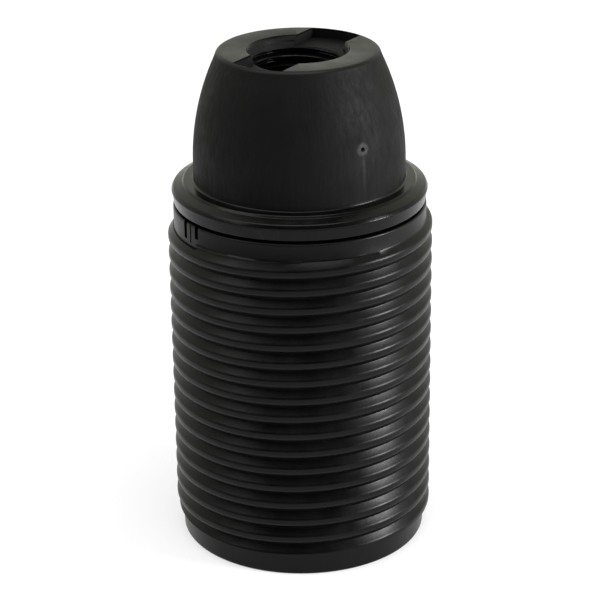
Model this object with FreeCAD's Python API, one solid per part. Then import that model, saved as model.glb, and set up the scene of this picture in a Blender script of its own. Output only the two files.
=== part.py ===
"""Small-screw (E14) lamp holder in moulded thermoplastic, fully threaded outside for a shade ring.

The holder stands on its mouth: the origin is the centre of the mouth rim, +Z points up through the cable
entry, and +Y points to the back. All sizes are millimetres. The cap and the core unscrew from the skirt.
"""
import FreeCAD, Part
import math
import os

VEC = FreeCAD.Vector
ORIGIN = VEC(0, 0, 0)
UP = VEC(0, 0, 1)

# --- Skirt: outer shell -------------------------------------------------------------------------------
SHADE_THREAD_D = 27.9        # crest of the shade-ring thread
SHADE_THREAD_PITCH = 2.0
SHADE_THREAD_DEPTH = 0.55
SHADE_GROOVE_W = 1.5         # width of the groove at the crest
SHADE_THREAD_PHASE = 0.12    # height of the groove above the mouth on the +X side, less whole turns
THREAD_TOP = 35.7            # upper end of the threaded length
THREAD_FLANK = 0.25          # height of the slope from the thread's end to the neck
SKIRT_HEIGHT = 37.55
NECK_SETBACK = 0.65          # the neck stands this far inside the thread's crest
NECK_WALL = 1.6
LIP_SETBACK = 0.7            # and so does the plain lip at the mouth
LIP_HEIGHT = 2.3
LIP_SLOPE = 0.4
SKIRT_WALL = 2.05            # from the thread's crest to the bore
EDGE = 0.3                   # edge breaks on the mouldings

# --- Skirt: lamp socket -------------------------------------------------------------------------------
SOCKET_MAJOR_D = 14.0
SOCKET_DEPTH = 0.75          # depth of the lamp thread
SOCKET_PITCH = 2.822
SOCKET_GROOVE_W = 1.6        # width of the groove at the crest
SOCKET_BOTTOM = 10.0         # lower and upper end of the lamp thread
SOCKET_TOP = 21.0
SOCKET_RELIEF = 0.3          # the plain bore below and above the thread is this much deeper
SOCKET_LEAD = 0.5
SLEEVE_WALL = 1.1
SLEEVE_SETBACK = 2.5         # the sleeve ends this far inside the mouth
CHAMBER_PLAY = 0.25          # from the contacts' legs to the wall of their chamber
CHAMBER_FLOOR = 25.6
CHAMBER_WALL = 1.2
CHAMBER_BASE = 1.4
LEDGE_Z = 30.0               # the core stands on this ledge
WEB_T = 1.8
RIB_COUNT = 4
RIB_T = 1.2
RIB_RISE = 8.0               # the ribs start this far above the mouth

# --- Screw joint between skirt and cap ----------------------------------------------------------------
JOINT_DEPTH = 0.6
JOINT_PITCH = 2.5
JOINT_GROOVE_W = 1.5         # width of the groove at the minor diameter
JOINT_ROOT_W = 0.6
JOINT_TURNS = 0.75           # turns of thread on the cap
JOINT_RUNOUT = 2.6           # the skirt's groove starts this far above the ledge
JOINT_LEAD = 0.9             # plain end of the cap's spigot
JOINT_PLAY = 0.08            # radial play of the joint thread
FLANK_PLAY = 0.06

# --- Locking tongue in the neck -----------------------------------------------------------------------
LOCK_AZIMUTH = 212.0         # degrees from +X
LOCK_TONGUE_W = 1.6
LOCK_SLOT_W = 0.8
LOCK_SLOT_H = 1.8
LOCK_RELIEF_FROM = 150.0
LOCK_RELIEF_TO = 218.0

# --- Cap ----------------------------------------------------------------------------------------------
SEAM_GAP = 0.3               # open seam between skirt and cap
CAP_HEIGHT = 16.05           # from the cap's rim to its top face
CAP_RIM_SETBACK = 0.1        # the cap's rim stands this far inside the neck
COLLAR_PROUD = 0.12          # and the collar this far outside it
COLLAR_STEP_Z = 1.25         # fine step round the collar, above the cap's rim
COLLAR_STEP = 0.07
COLLAR_TOP_Z = 2.32
COLLAR_BEVEL_W = 1.15        # bevel round the collar's top, and the steeper one below it
COLLAR_BEVEL_H = 0.6
COLLAR_EDGE_W = 0.22
COLLAR_EDGE_H = 0.35
COLLAR_SHELF = 2.32          # from the collar's side to the dome's foot
DOME_ARC_R = 26.0
DOME_STRAIGHT = 1.9          # upright foot of the dome, above the collar
CROWN_R = 0.55               # edge radius of the top face
DOME_WALL = 1.7
CAP_TOP_T = 2.8
ENTRY_D = 8.92               # wall of the M10 x 1 cable entry thread
ENTRY_DEPTH = 7.0
ENTRY_LEAD = 0.6
BOSS_WALL = 1.7
TOP_SLOT_W = 5.9
TOP_SLOT_DEPTH = 1.1
TOP_SLOT_RIM = 0.4           # thin rim at the ends of the slot
TOP_SLOT_AZIMUTH = 57.5
SPIGOT_WALL = 1.25

# --- Core ---------------------------------------------------------------------------------------------
CORE_PLAY = 0.2              # radial play of the core in the cap's bore
FLANGE_PLAY = 0.25           # radial play of the core's flange in the skirt
FLANGE_T = 1.95
SEAT_PLAY = 0.05             # axial play where pieces seat on each other
CORE_HEIGHT = 9.8            # from the ledge to the top of the core's walls
SPIGOT_PLAY = 0.4            # radial play of the core's foot in the contact chamber
SPIGOT_H = 1.4
KEY_W = 2.0
KEY_DEPTH = 0.95
KEY_H = 5.0
KEY_PLAY = 0.1
POCKET_FLOOR = 7.0           # terminal pockets, above the ledge
POCKET_ROOM = 0.6            # between the clamp and the pocket's inner end
POCKET_W = 6.8

# --- Contacts and terminals ---------------------------------------------------------------------------
STRIP_T = 0.4
LEG_W = 3.2
LEG_INSET = 1.77             # middle of the contacts' upright legs, in from the core's wall
SLOT_PLAY = 0.1
TAB_W = 5.2
TERMINAL_INSET = 3.8         # the screws stand this far inside the legs
NUT_W = 5.0
NUT_H = 2.0
SCREW_D = 2.9
NUT_PLAY = 0.05
HOLE_PLAY = 0.15
HEAD_D = 5.4
HEAD_H = 1.8
HEAD_SLOT_W = 0.7
HEAD_SLOT_DEPTH = 0.9
SHANK_L = 4.7
SHANK_ROOM = 0.7             # free depth below the screw's end
CLAMP_W = 5.0
CLAMP_T = 0.8
LEAF_Z = -0.8                # middle of the centre contact's leaf, from the ledge
LEAF_END_X = -2.2
LEAF_W = 3.8
LEAF_ROOM = 2.3              # the leaf's recess rises this far above the leaf
BUTTON_D = 3.6
BUTTON_H = 1.7
BUTTON_TIP = 0.5             # share of the button's radius that is flat
STEM_D = 1.6
STEM_PLAY = 0.05
RIVET_D = 2.6
RIVET_H = 0.5
SIDE_BITE = 0.4              # the side contact reaches this far inside the lamp thread's root
SIDE_BEND_Z = -2.0
SIDE_TIP_Z = -3.4
SIDE_END_Z = -4.0
SIDE_FLARE = 0.7             # and its end this far back out

# --- Levels and radii worked out from the sizes above ---------------------------------------------------
CREST_R = SHADE_THREAD_D / 2
NECK_R = CREST_R - NECK_SETBACK
LIP_R = CREST_R - LIP_SETBACK
BORE_R = CREST_R - SKIRT_WALL
SOCKET_R = SOCKET_MAJOR_D / 2 - SOCKET_DEPTH
RELIEF_R = SOCKET_MAJOR_D / 2 + SOCKET_RELIEF
SLEEVE_R = RELIEF_R + SLEEVE_WALL
CUP_Z = CHAMBER_FLOOR - CHAMBER_BASE
WEB_Z = LEDGE_Z - WEB_T
CAP_RIM_Z = SKIRT_HEIGHT + SEAM_GAP
CAP_TOP_Z = CAP_RIM_Z + CAP_HEIGHT
COLLAR_R = NECK_R + COLLAR_PROUD
DOME_R = COLLAR_R - COLLAR_SHELF
ENTRY_R = ENTRY_D / 2
JOINT_R = NECK_R - NECK_WALL
SPIGOT_R = JOINT_R - JOINT_PLAY
SPIGOT_Z = LEDGE_Z + FLANGE_T + SEAT_PLAY
CAP_BORE_R = SPIGOT_R - SPIGOT_WALL
CORE_R = CAP_BORE_R - CORE_PLAY
LEG_X = CORE_R - LEG_INSET
CHAMBER_R = math.hypot(LEG_X + STRIP_T / 2, LEG_W / 2) + CHAMBER_PLAY
CUP_R = CHAMBER_R + CHAMBER_WALL
TERMINAL_X = LEG_X - TERMINAL_INSET
POCKET_X0 = TERMINAL_X - CLAMP_W / 2 - POCKET_ROOM
POCKET_X1 = LEG_X + STRIP_T / 2 + 3 * SLOT_PLAY
TAB_X0 = POCKET_X0 + SLOT_PLAY
SIDE_TIP_X = SOCKET_MAJOR_D / 2 - SIDE_BITE
CORE_TOP_Z = LEDGE_Z + CORE_HEIGHT
CAP_BORE_TOP = CORE_TOP_Z + SEAT_PLAY
FLOOR_Z = LEDGE_Z + POCKET_FLOOR
TAB_TOP_Z = FLOOR_Z + STRIP_T
CLAMP_Z = TAB_TOP_Z + SEAT_PLAY
HEAD_Z = CLAMP_Z + CLAMP_T + SEAT_PLAY
OVERLAP = 0.3                # how far cutting tools reach past a surface
CREST_OVERLAP = 0.1          # less, where two turns of a wide groove would meet


def closed_face(start, *steps):
    """Face from points (r, z): a point is a line to it, a pair of points is an arc through the first."""
    edges = []
    here = VEC(start[0], 0, start[1])
    for step in steps + (start,):
        if isinstance(step[0], tuple):
            middle = VEC(step[0][0], 0, step[0][1])
            there = VEC(step[1][0], 0, step[1][1])
            edges.append(Part.Arc(here, middle, there).toShape())
        else:
            there = VEC(step[0], 0, step[1])
            edges.append(Part.makeLine(here, there))
        here = there
    return Part.Face(Part.Wire(edges))


def turned(start, *steps):
    return closed_face(start, *steps).revolve(ORIGIN, UP, 360)


def disc(radius, z0, z1, x=0.0, y=0.0):
    return Part.makeCylinder(radius, z1 - z0, VEC(x, y, z0))


def block(x0, x1, width, z0, z1):
    """Box from x0 to x1, centred on y = 0."""
    return Part.makeBox(x1 - x0, width, z1 - z0, VEC(x0, -width / 2, z0))


def turned_to(shape, degrees):
    out = shape.copy()
    out.rotate(ORIGIN, UP, degrees)
    return out


def mirrored_x(shape):
    return shape.mirror(ORIGIN, VEC(1, 0, 0))


def arc_point(centre, radius, degrees):
    angle = math.radians(degrees)
    return (centre[0] + radius * math.cos(angle), centre[1] + radius * math.sin(angle))


def helical(profile, pitch, turns, z_start):
    """Sweep a closed (r, z) profile along a right-hand helix that starts on the +X side."""
    spine = []
    climbed = 0.0
    while climbed < turns:
        turn = Part.makeHelix(pitch, pitch * min(1.0, turns - climbed), profile[0][0])
        turn.translate(VEC(0, 0, pitch * climbed))
        spine += turn.Edges
        climbed += 1.0
    wire = Part.makePolygon([VEC(r, 0, z) for r, z in profile + profile[:1]])
    solid = Part.Wire(spine).makePipeShell([wire], True, True)
    solid.translate(VEC(0, 0, z_start))
    return solid


def first_solid(shape):
    return max(shape.Solids, key=lambda solid: solid.Volume)


# --- Skirt --------------------------------------------------------------------------------------------
def skirt_blank():
    lead = RELIEF_R - SOCKET_R
    return turned(
        (BORE_R, 0),
        (LIP_R - EDGE, 0),
        (LIP_R, EDGE),
        (LIP_R, LIP_HEIGHT),
        (CREST_R, LIP_HEIGHT + LIP_SLOPE),
        (CREST_R, THREAD_TOP),
        (NECK_R, THREAD_TOP + THREAD_FLANK),
        (NECK_R, SKIRT_HEIGHT - EDGE),
        (NECK_R - EDGE, SKIRT_HEIGHT),
        (JOINT_R, SKIRT_HEIGHT),
        (JOINT_R, LEDGE_Z),
        (CHAMBER_R, LEDGE_Z),
        (CHAMBER_R, CHAMBER_FLOOR),
        (RELIEF_R, CHAMBER_FLOOR),
        (RELIEF_R, SOCKET_TOP + lead),
        (SOCKET_R, SOCKET_TOP),
        (SOCKET_R, SOCKET_BOTTOM),
        (RELIEF_R, SOCKET_BOTTOM - lead),
        (RELIEF_R, SLEEVE_SETBACK + SOCKET_LEAD),
        (RELIEF_R + SOCKET_LEAD, SLEEVE_SETBACK),
        (SLEEVE_R, SLEEVE_SETBACK),
        (SLEEVE_R, CUP_Z),
        (CUP_R, CUP_Z),
        (CUP_R, WEB_Z),
        (BORE_R, WEB_Z),
    )


def vee(crest, root, width):
    """Groove profile with a sharp root, whose width at the crest is given. It reaches past the crest."""
    past = CREST_OVERLAP if crest > root else -CREST_OVERLAP
    half = width / 2 * (crest + past - root) / (crest - root)
    return [(root, 0), (crest + past, half), (crest + past, -half)]


def shade_groove():
    profile = vee(CREST_R, CREST_R - SHADE_THREAD_DEPTH, SHADE_GROOVE_W)
    turns = THREAD_TOP / SHADE_THREAD_PITCH + 1
    return helical(profile, SHADE_THREAD_PITCH, turns, SHADE_THREAD_PHASE)


def trapezoid(r_base, r_tip, w_base, w_tip, r_start, shrink=0.0):
    """Groove profile from r_start to r_tip, whose width is w_base at r_base and w_tip at r_tip."""
    slope = (w_base - w_tip) / 2 / (r_tip - r_base)
    half_start = w_base / 2 + slope * (r_base - r_start) - shrink
    half_tip = w_tip / 2 - shrink
    return [(r_start, -half_start), (r_tip, -half_tip), (r_tip, half_tip), (r_start, half_start)]


def socket_groove():
    profile = vee(SOCKET_R, SOCKET_MAJOR_D / 2, SOCKET_GROOVE_W)
    length = SOCKET_TOP - SOCKET_BOTTOM
    return helical(profile, SOCKET_PITCH, length / SOCKET_PITCH + 1, SOCKET_BOTTOM - SOCKET_PITCH / 2)


def joint_profile(r_start, shrink):
    tip = JOINT_R + JOINT_DEPTH
    return trapezoid(JOINT_R, tip, JOINT_GROOVE_W, JOINT_ROOT_W, r_start, shrink)


def joint_groove():
    start = LEDGE_Z + JOINT_RUNOUT
    turns = (SKIRT_HEIGHT - start) / JOINT_PITCH + 1
    return helical(joint_profile(JOINT_R - OVERLAP, 0), JOINT_PITCH, turns, start)


def skirt_rib():
    """Rib between the sleeve and the outer shell, notched round the contact chamber."""
    inner = SLEEVE_R - OVERLAP
    cup = CUP_R - OVERLAP
    outer = BORE_R + OVERLAP
    top = WEB_Z + OVERLAP
    base = CUP_Z + OVERLAP
    outline = [(inner, RIB_RISE), (outer, RIB_RISE), (outer, top), (cup, top), (cup, base), (inner, base)]
    wire = Part.makePolygon([VEC(x, -RIB_T / 2, z) for x, z in outline + outline[:1]])
    return Part.Face(wire).extrude(VEC(0, RIB_T, 0))


def lock_cuts():
    """Two slots that free the locking tongue, and the relief beside it at the thread's upper end."""
    reach = CREST_R + OVERLAP
    step = (LOCK_TONGUE_W + LOCK_SLOT_W) / 2
    cuts = []
    for side in (-1, 1):
        slot = block(JOINT_R - OVERLAP, reach, LOCK_SLOT_W, SKIRT_HEIGHT - LOCK_SLOT_H, SKIRT_HEIGHT + OVERLAP)
        slot.translate(VEC(0, side * step, 0))
        cuts.append(turned_to(slot, LOCK_AZIMUTH))
    low = THREAD_TOP - SHADE_THREAD_DEPTH
    section = closed_face((NECK_R, low), (reach, low), (reach, SKIRT_HEIGHT), (NECK_R, SKIRT_HEIGHT))
    relief = section.revolve(ORIGIN, UP, LOCK_RELIEF_TO - LOCK_RELIEF_FROM)
    cuts.append(turned_to(relief, LOCK_RELIEF_FROM))
    return cuts


def skirt():
    ribs = [turned_to(skirt_rib(), 45 + 360 / RIB_COUNT * i) for i in range(RIB_COUNT)]
    body = skirt_blank().fuse(ribs)
    body = body.cut(lock_cuts())
    body = body.cut(shade_groove())
    body = body.cut(socket_groove())
    return first_solid(body.cut(joint_groove()))


# --- Cap ----------------------------------------------------------------------------------------------
def dome_radius(z, inset=0.0):
    """Outer radius of the dome at height z, or the radius of a shell inset from it."""
    spring = CAP_RIM_Z + COLLAR_TOP_Z + DOME_STRAIGHT
    radius = DOME_ARC_R - inset
    centre = DOME_R - DOME_ARC_R
    return centre + math.sqrt(radius ** 2 - max(0.0, z - spring) ** 2)


def cap_blank():
    rim = NECK_R - CAP_RIM_SETBACK
    bevel = COLLAR_R - COLLAR_EDGE_W
    step_z = CAP_RIM_Z + COLLAR_STEP_Z
    shelf_z = CAP_RIM_Z + COLLAR_TOP_Z
    spring_z = shelf_z + DOME_STRAIGHT
    crown_z = CAP_TOP_Z - CROWN_R
    crown = dome_radius(crown_z)
    ceiling = CAP_TOP_Z - CAP_TOP_T
    boss = ENTRY_R + BOSS_WALL
    boss_z = CAP_TOP_Z - ENTRY_DEPTH
    bevel_z = shelf_z - COLLAR_BEVEL_H
    inside = DOME_R - DOME_WALL
    mid = (spring_z + crown_z) / 2
    return turned(
        (CAP_BORE_R, SPIGOT_Z),
        (SPIGOT_R - EDGE, SPIGOT_Z),
        (SPIGOT_R, SPIGOT_Z + EDGE),
        (SPIGOT_R, CAP_RIM_Z),
        (rim, CAP_RIM_Z),
        (COLLAR_R - COLLAR_STEP, step_z - COLLAR_STEP),
        (COLLAR_R, step_z),
        (COLLAR_R, bevel_z - COLLAR_EDGE_H),
        (bevel, bevel_z),
        (bevel - COLLAR_BEVEL_W, shelf_z),
        (DOME_R, shelf_z),
        (DOME_R, spring_z),
        ((dome_radius(mid), mid), (crown, crown_z)),
        arc_point((crown - CROWN_R, crown_z), CROWN_R, 45),
        (crown - CROWN_R, CAP_TOP_Z),
        (ENTRY_R + ENTRY_LEAD, CAP_TOP_Z),
        (ENTRY_R, CAP_TOP_Z - TOP_SLOT_DEPTH - ENTRY_LEAD),
        (ENTRY_R, boss_z),
        (boss, boss_z),
        (boss, ceiling),
        (dome_radius(ceiling, DOME_WALL), ceiling),
        (inside, spring_z),
        (inside, CAP_BORE_TOP),
        (CAP_BORE_R, CAP_BORE_TOP),
    )


def joint_ridge():
    """The cap's half of the screw joint: it runs in the skirt's groove with play on every side."""
    groove_start = LEDGE_Z + JOINT_RUNOUT
    start = SPIGOT_Z + JOINT_LEAD + JOINT_GROOVE_W / 2
    turned_by = (start - groove_start) / JOINT_PITCH * 360
    profile = joint_profile(SPIGOT_R - OVERLAP, FLANK_PLAY)
    profile = [(r - JOINT_PLAY if r > JOINT_R else r, z) for r, z in profile]
    return turned_to(helical(profile, JOINT_PITCH, JOINT_TURNS, start), turned_by)


def cap_key():
    """Rib in the cap's bore that turns the core."""
    return block(CAP_BORE_R - KEY_DEPTH, CAP_BORE_R + OVERLAP, KEY_W, SPIGOT_Z + KEY_PLAY, SPIGOT_Z + KEY_H)


def top_slot():
    """Slot across the top face, whose ends follow the dome's edge."""
    reach = dome_radius(CAP_TOP_Z - CROWN_R) - TOP_SLOT_RIM
    low = CAP_TOP_Z - TOP_SLOT_DEPTH
    high = CAP_TOP_Z + OVERLAP
    slot = block(-reach, reach, TOP_SLOT_W, low, high).common(disc(reach, low, high))
    return turned_to(slot, TOP_SLOT_AZIMUTH)


def cap():
    keys = [turned_to(cap_key(), angle) for angle in (90, 270)]
    body = cap_blank().fuse([joint_ridge()] + keys)
    return first_solid(body.cut(top_slot()))


# --- Core ---------------------------------------------------------------------------------------------
def core_blank():
    flange = JOINT_R - FLANGE_PLAY
    foot = CHAMBER_R - SPIGOT_PLAY
    z0 = LEDGE_Z + SEAT_PLAY
    return turned(
        (0, z0 - SPIGOT_H),
        (foot, z0 - SPIGOT_H),
        (foot, z0),
        (flange, z0),
        (flange, LEDGE_Z + FLANGE_T),
        (CORE_R, LEDGE_Z + FLANGE_T),
        (CORE_R, CORE_TOP_Z),
        (0, CORE_TOP_Z),
    )


def terminal_cuts():
    """One terminal's pocket, nut seat, screw hole and leg slot, on the +X side."""
    nut_floor = FLOOR_Z - NUT_H
    hole_floor = HEAD_Z - SHANK_L - SHANK_ROOM
    nut = NUT_W + 2 * SLOT_PLAY
    half = STRIP_T / 2 + SLOT_PLAY
    pocket = block(POCKET_X0, POCKET_X1, POCKET_W, FLOOR_Z, CORE_TOP_Z + OVERLAP)
    seat = block(TERMINAL_X - nut / 2, TERMINAL_X + nut / 2, nut, nut_floor, FLOOR_Z + OVERLAP)
    hole = disc(SCREW_D / 2 + HOLE_PLAY, hole_floor, FLOOR_Z, TERMINAL_X)
    leg = block(LEG_X - half, LEG_X + half, LEG_W + 2 * SLOT_PLAY, LEDGE_Z - SPIGOT_H - OVERLAP, FLOOR_Z + OVERLAP)
    return [pocket, seat, hole, leg]


def leaf_recess():
    """Room under the core for the centre contact's leaf and its travel."""
    half = STRIP_T / 2 + SLOT_PLAY
    end = LEAF_END_X - RIVET_D / 2
    return block(end, LEG_X + half, LEAF_W + 4 * SLOT_PLAY, LEDGE_Z - SPIGOT_H - OVERLAP, LEDGE_Z + LEAF_Z + LEAF_ROOM)


def keyway():
    inner = CAP_BORE_R - KEY_DEPTH - KEY_PLAY
    return block(inner, CORE_R + OVERLAP, KEY_W + 2 * KEY_PLAY, LEDGE_Z + FLANGE_T, CORE_TOP_Z + OVERLAP)


def core():
    cuts = terminal_cuts() + [mirrored_x(cut) for cut in terminal_cuts()]
    cuts += [turned_to(keyway(), angle) for angle in (90, 270)]
    return first_solid(core_blank().cut(cuts + [leaf_recess()]))


# --- Contacts -----------------------------------------------------------------------------------------
def strip(points, width, thickness=STRIP_T):
    """Bent sheet strip, centred on y = 0, whose middle line runs through (x, z) points."""
    sides = ([], [])
    for i, (x, z) in enumerate(points):
        before = points[max(i - 1, 0)]
        after = points[min(i + 1, len(points) - 1)]
        runs = [(b[0] - a[0], b[1] - a[1]) for a, b in ((before, (x, z)), ((x, z), after)) if a != b]
        normals = [(-dz / math.hypot(dx, dz), dx / math.hypot(dx, dz)) for dx, dz in runs]
        nx = sum(n[0] for n in normals) / len(normals)
        nz = sum(n[1] for n in normals) / len(normals)
        scale = thickness / 2 / (nx * nx + nz * nz)
        sides[0].append(VEC(x + nx * scale, -width / 2, z + nz * scale))
        sides[1].append(VEC(x - nx * scale, -width / 2, z - nz * scale))
    ring = sides[0] + sides[1][::-1]
    return Part.Face(Part.makePolygon(ring + ring[:1])).extrude(VEC(0, width, 0))


def tab():
    """Terminal tab on the pocket's floor, with the screw's hole."""
    plate = block(TAB_X0, LEG_X + STRIP_T / 2, TAB_W, FLOOR_Z, TAB_TOP_Z)
    return plate.cut(disc(SCREW_D / 2 + HOLE_PLAY, FLOOR_Z - OVERLAP, TAB_TOP_Z + OVERLAP, TERMINAL_X))


def centre_contact():
    level = LEDGE_Z + LEAF_Z
    bend = strip([(LEG_X, FLOOR_Z + STRIP_T / 2), (LEG_X, level), (LEG_X - LEAF_W, level)], LEG_W)
    leaf = block(LEAF_END_X, LEG_X - LEG_W / 2, LEAF_W, level - STRIP_T / 2, level + STRIP_T / 2)
    hole = disc(STEM_D / 2 + STEM_PLAY, level - STRIP_T, level + STRIP_T)
    return first_solid(tab().fuse([bend, leaf]).cut(hole).removeSplitter())


def side_contact():
    path = [
        (LEG_X, FLOOR_Z + STRIP_T / 2),
        (LEG_X, LEDGE_Z + SIDE_BEND_Z),
        (SIDE_TIP_X, LEDGE_Z + SIDE_TIP_Z),
        (SIDE_TIP_X + SIDE_FLARE, LEDGE_Z + SIDE_END_Z),
    ]
    return mirrored_x(first_solid(tab().fuse(strip(path, LEG_W)).removeSplitter()))


def contact_button():
    """Bevelled pip riveted through the leaf's end."""
    level = LEDGE_Z + LEAF_Z
    under = level - STRIP_T / 2 - STEM_PLAY
    over = level + STRIP_T / 2 + STEM_PLAY
    radius = BUTTON_D / 2
    tip = radius * BUTTON_TIP
    return turned(
        (0, under - BUTTON_H),
        (tip, under - BUTTON_H),
        (radius, under - BUTTON_H + (radius - tip)),
        (radius, under),
        (STEM_D / 2, under),
        (STEM_D / 2, over),
        (RIVET_D / 2, over),
        (RIVET_D / 2 - RIVET_H / 2, over + RIVET_H),
        (0, over + RIVET_H),
    )


# --- Terminals ----------------------------------------------------------------------------------------
def terminal_nut():
    nut = block(TERMINAL_X - NUT_W / 2, TERMINAL_X + NUT_W / 2, NUT_W, FLOOR_Z - NUT_H, FLOOR_Z)
    return nut.cut(disc(SCREW_D / 2 + NUT_PLAY, FLOOR_Z - NUT_H - OVERLAP, FLOOR_Z + OVERLAP, TERMINAL_X))


def clamp_plate():
    plate = block(TERMINAL_X - CLAMP_W / 2, TERMINAL_X + CLAMP_W / 2, CLAMP_W, CLAMP_Z, CLAMP_Z + CLAMP_T)
    corners = [edge for edge in plate.Edges if abs(edge.tangentAt(edge.FirstParameter).z) > 0.9]
    plate = plate.makeFillet(CLAMP_T / 2, corners)
    return plate.cut(disc(SCREW_D / 2 + HOLE_PLAY, CLAMP_Z - OVERLAP, CLAMP_Z + CLAMP_T + OVERLAP, TERMINAL_X))


def terminal_screw():
    shank = SCREW_D / 2
    head = HEAD_D / 2
    body = turned(
        (0, HEAD_Z - SHANK_L),
        (shank - EDGE, HEAD_Z - SHANK_L),
        (shank, HEAD_Z - SHANK_L + EDGE),
        (shank, HEAD_Z),
        (head, HEAD_Z),
        (head, HEAD_Z + HEAD_H - EDGE),
        (head - EDGE, HEAD_Z + HEAD_H),
        (0, HEAD_Z + HEAD_H),
    )
    slot = block(-HEAD_D, HEAD_D, HEAD_SLOT_W, HEAD_Z + HEAD_H - HEAD_SLOT_DEPTH, HEAD_Z + HEAD_H + OVERLAP)
    body = body.cut(slot)
    body.translate(VEC(TERMINAL_X, 0, 0))
    return body


def pieces():
    return {
        "skirt": skirt(),
        "cap": cap(),
        "core": core(),
        "centre_contact": centre_contact(),
        "contact_button": contact_button(),
        "side_contact": side_contact(),
        "live_nut": terminal_nut(),
        "live_clamp": clamp_plate(),
        "live_screw": terminal_screw(),
        "neutral_nut": mirrored_x(terminal_nut()),
        "neutral_clamp": mirrored_x(clamp_plate()),
        "neutral_screw": mirrored_x(terminal_screw()),
    }


os.makedirs("parts", exist_ok=True)
for name, shape in pieces().items():
    shape.exportStep("parts/" + name + ".step")
    print(name, len(shape.Solids), "solid", shape.isValid(), round(shape.Volume, 1), "mm3")
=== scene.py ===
"""Small-screw lamp holder: fine moulded forms, finishes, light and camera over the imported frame.

Lengths below are millimetres unless a comment says otherwise, and become metres in the meshes.
"""
import bmesh
import bpy
import math
from mathutils import Matrix, Vector


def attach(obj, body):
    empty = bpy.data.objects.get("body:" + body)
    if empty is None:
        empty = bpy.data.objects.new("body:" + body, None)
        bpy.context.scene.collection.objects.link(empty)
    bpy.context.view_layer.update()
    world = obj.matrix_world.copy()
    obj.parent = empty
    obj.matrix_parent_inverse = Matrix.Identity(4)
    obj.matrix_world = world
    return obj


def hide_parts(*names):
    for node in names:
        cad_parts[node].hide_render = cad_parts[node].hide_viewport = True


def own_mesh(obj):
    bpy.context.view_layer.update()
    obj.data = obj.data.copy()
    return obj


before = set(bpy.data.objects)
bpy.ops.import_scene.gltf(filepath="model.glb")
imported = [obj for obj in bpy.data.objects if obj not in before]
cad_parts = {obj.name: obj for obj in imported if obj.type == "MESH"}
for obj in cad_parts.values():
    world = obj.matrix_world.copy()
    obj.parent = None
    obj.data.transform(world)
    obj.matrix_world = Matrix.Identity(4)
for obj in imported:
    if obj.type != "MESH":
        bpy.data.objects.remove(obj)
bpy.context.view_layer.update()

MM = 0.001
COLUMNS = 192                # steps round a large turned form
SMALL_COLUMNS = 48           # and round a small one
TURN = 2 * math.pi
WELD = 0.0003                # points closer than this are one point
BITE = 0.3                   # volumes that are one moulding reach this far into each other
CLEAR = 1.0                  # cutting tools reach this far past the surface
AXIS_R = 0.01                # radius of a small ring in place of a point on the axis
SMOOTH_UNDER = 35            # edges between faces that meet at more degrees than this stay sharp
EDGE_ROUND = 0.08            # round on the edges of the pieces that are carried over

# --- Skirt: sizes shared with the solids --------------------------------------------------------
CREST_R = 13.95
SHADE_PITCH = 2.0
SHADE_DEPTH = 0.55
SHADE_ROOT_W = 0.04
SHADE_UPPER_FLANK = 0.72     # height of the flank that faces up, and of the one that faces down
SHADE_LOWER_FLANK = 0.66
SHADE_ROOT_SOFT = 0.03       # rounding at the root, as a share of the flank
SHADE_UPPER_SOFT = 0.22      # and at the ridge's upper and lower edge
SHADE_LOWER_SOFT = 0.28
SHADE_ROWS = (               # rows of one pitch, by height above the groove's middle
    -1.0, -0.88, -0.82, -0.76, -0.7, -0.64, -0.57, -0.05,
    0.0, 0.05, 0.46, 0.55, 0.63, 0.71, 0.79, 0.87,
)
SHADE_PHASE = 0.12           # height of the groove on the +X side, less whole turns
THREAD_BOTTOM = 2.7
THREAD_TOP = 35.7
THREAD_EASE_H = 0.16         # the upper end is eased over this height, by this much
THREAD_EASE = 0.12
NECK_R = 13.3
LIP_R = 13.25
LIP_Z = 2.35
BORE_R = 11.9
SKIRT_TOP = 37.55
JOINT_R = 11.7
JOINT_DEPTH = 0.6
JOINT_PITCH = 2.5
JOINT_START = 32.6           # height of the skirt's groove where it starts, on the +X side
JOINT_BOTTOM = 30.6          # rows that follow the helix begin and end at these heights
JOINT_TOP = 37.15
JOINT_GROOVE_W = 1.5         # width at the minor diameter
JOINT_FLANK = 0.45           # height of each flank
JOINT_ROWS = (-1.25, -1.0, -0.76, -0.7, -0.5, -0.3, -0.1, 0.1, 0.3, 0.5, 0.7, 0.76, 1.0)
LEDGE_Z = 30.0
CHAMBER_R = 9.0
CHAMBER_FLOOR = 25.6
CUP_R = 10.2
CUP_Z = 24.2
WEB_Z = 28.2
SOCKET_R = 6.25
SOCKET_DEPTH = 0.75
SOCKET_PITCH = 2.822
SOCKET_BOTTOM = 10.0
SOCKET_TOP = 21.0
SOCKET_LEAD = 1.05           # height of the slopes from the thread's ends to the wider bore
RELIEF_R = 7.3
SLEEVE_R = 8.4
SLEEVE_Z = 2.5
RIB_T = 1.2
RIB_Z = 8.0
LOCK_FROM = 150.0            # the shade thread is relieved between these two azimuths
LOCK_TO = 218.0
LOCK_SLOTS = (               # azimuth in degrees, width, height, radius of the bottom
    (208.0, 0.62, 1.8, JOINT_R - 0.9),
    (217.4, 0.55, 1.3, JOINT_R - 0.9),
    (212.6, 0.24, 2.0, NECK_R - 0.1),
)

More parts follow.
